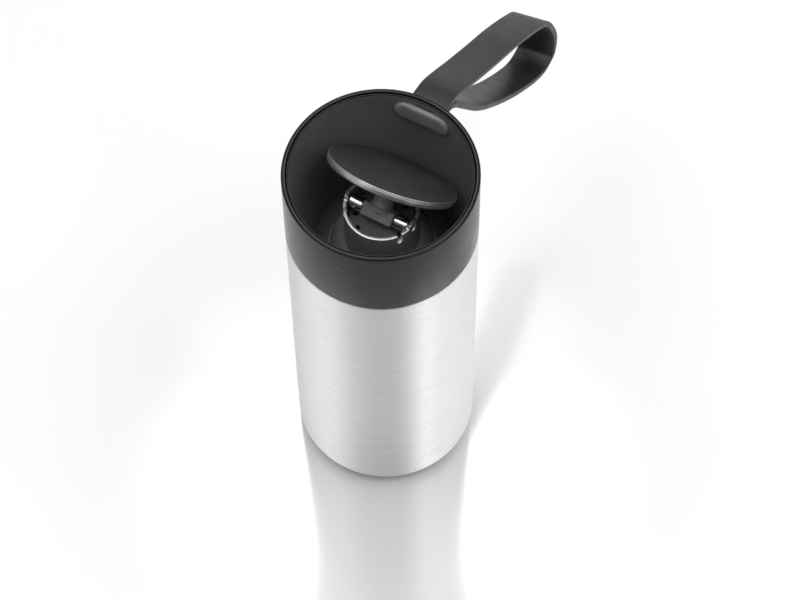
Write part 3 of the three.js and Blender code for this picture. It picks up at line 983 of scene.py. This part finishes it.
# Brightness of the studio walls by angle round from the viewing side, in degrees.
WALLS = [
    (-180, 0.72), (-120, 0.5), (-108, 0.5), (-94, 0.5), (-82, 0.8), (-68, 0.95), (-52, 0.85),
    (-42, 0.48), (-28, 0.06), (0, 0.04), (18, 0.08), (30, 0.85), (36, 1.3), (43, 1.25), (50, 0.6),
    (58, 0.5), (66, 0.98), (97, 1.0), (116, 0.8), (150, 0.72), (180, 0.72),
]


def world():
    """White studio walls with one dark side, and a white ceiling."""
    scene_world = bpy.data.worlds.new("studio")
    bpy.context.scene.world = scene_world
    scene_world.use_nodes = True
    tree = scene_world.node_tree

    def maths(operation, *values):
        return add_node(tree, "Math", dict(enumerate(values)), operation=operation).outputs[0]

    place = add_node(tree, "TexCoord").outputs["Generated"]
    x, y, z = add_node(tree, "SeparateXYZ", {0: place}).outputs
    c, s = math.cos(VIEW_SIDE), math.sin(VIEW_SIDE)
    across = maths("ADD", maths("MULTIPLY", x, c), maths("MULTIPLY", y, s))
    toward = maths("SUBTRACT", maths("MULTIPLY", x, s), maths("MULTIPLY", y, c))
    turn = maths("ARCTAN2", across, toward)
    ramp = add_node(tree, "ValToRGB", {"Fac": maths("MULTIPLY_ADD", turn, 0.5 / math.pi, 0.5)})
    elements = ramp.color_ramp.elements
    elements.remove(elements[0])
    for i, (angle, value) in enumerate(WALLS):
        at = (angle + 180) / 360
        element = elements[0] if i == 0 else elements.new(at)
        element.position = at
        element.color = (value, value, value, 1)
    overhead = {"Value": z, "From Min": 0.7, "From Max": 0.95}
    ceiling = add_node(tree, "MapRange", overhead, interpolation_type="SMOOTHSTEP").outputs["Result"]
    colours = {0: ceiling, MIX_A: ramp.outputs["Color"], MIX_B: (CEILING, CEILING, CEILING, 1)}
    mix = add_node(tree, "Mix", colours, data_type="RGBA").outputs[MIX_RESULT]
    tree.links.new(mix, tree.nodes["Background"].inputs["Color"])


def camera():
    """The photograph's view: from high on the drinking side, a little to the right."""
    azimuth, elevation, distance = VIEW_SIDE, math.radians(59.44), 1.0869
    yaw, pitch, roll, focal_length = -0.00569, -0.04439, 0.02335, 128.95
    rim = Vector((0, 0, RIM * MM))
    level = math.cos(elevation)
    back = Vector((level * math.sin(azimuth), -level * math.cos(azimuth), math.sin(elevation)))
    forward = -back
    right = forward.cross(Vector((0, 0, 1))).normalized()
    up = right.cross(forward)
    axes = [forward, right, up]
    for which, angle in ((2, yaw), (1, pitch), (0, roll)):
        turn = Matrix.Rotation(angle, 3, axes[which])
        axes = [turn @ axis for axis in axes]
    forward, right, up = axes
    data = bpy.data.cameras.new("camera")
    data.lens, data.sensor_width = focal_length, 36
    obj = bpy.data.objects.new("camera", data)
    obj.matrix_world = Matrix((right, up, -forward)).transposed().to_4x4()
    obj.location = rim + back * distance
    bpy.context.scene.collection.objects.link(obj)
    bpy.context.scene.camera = obj


camera()
outer_shell()
inner_vessel()
foot_pad()
lid_collar()
bowl_liner()
screw_plug()
lid_rings()
guide_cap()
valve_hub()
hub_ring()
hinge_pin()
pin_sleeves()
flip_disc()
disc_knuckle()
strap()
dress_cad()
floor()
world()
softbox("far", 180, 62, 0.34, 0.24, 2)
softbox("top_left", -78, 72, 0.6, 0.5, 2.8)
softbox("top_right", 68, 66, 0.5, 0.4, 3)
bpy.context.scene.view_settings.view_transform = "Standard"
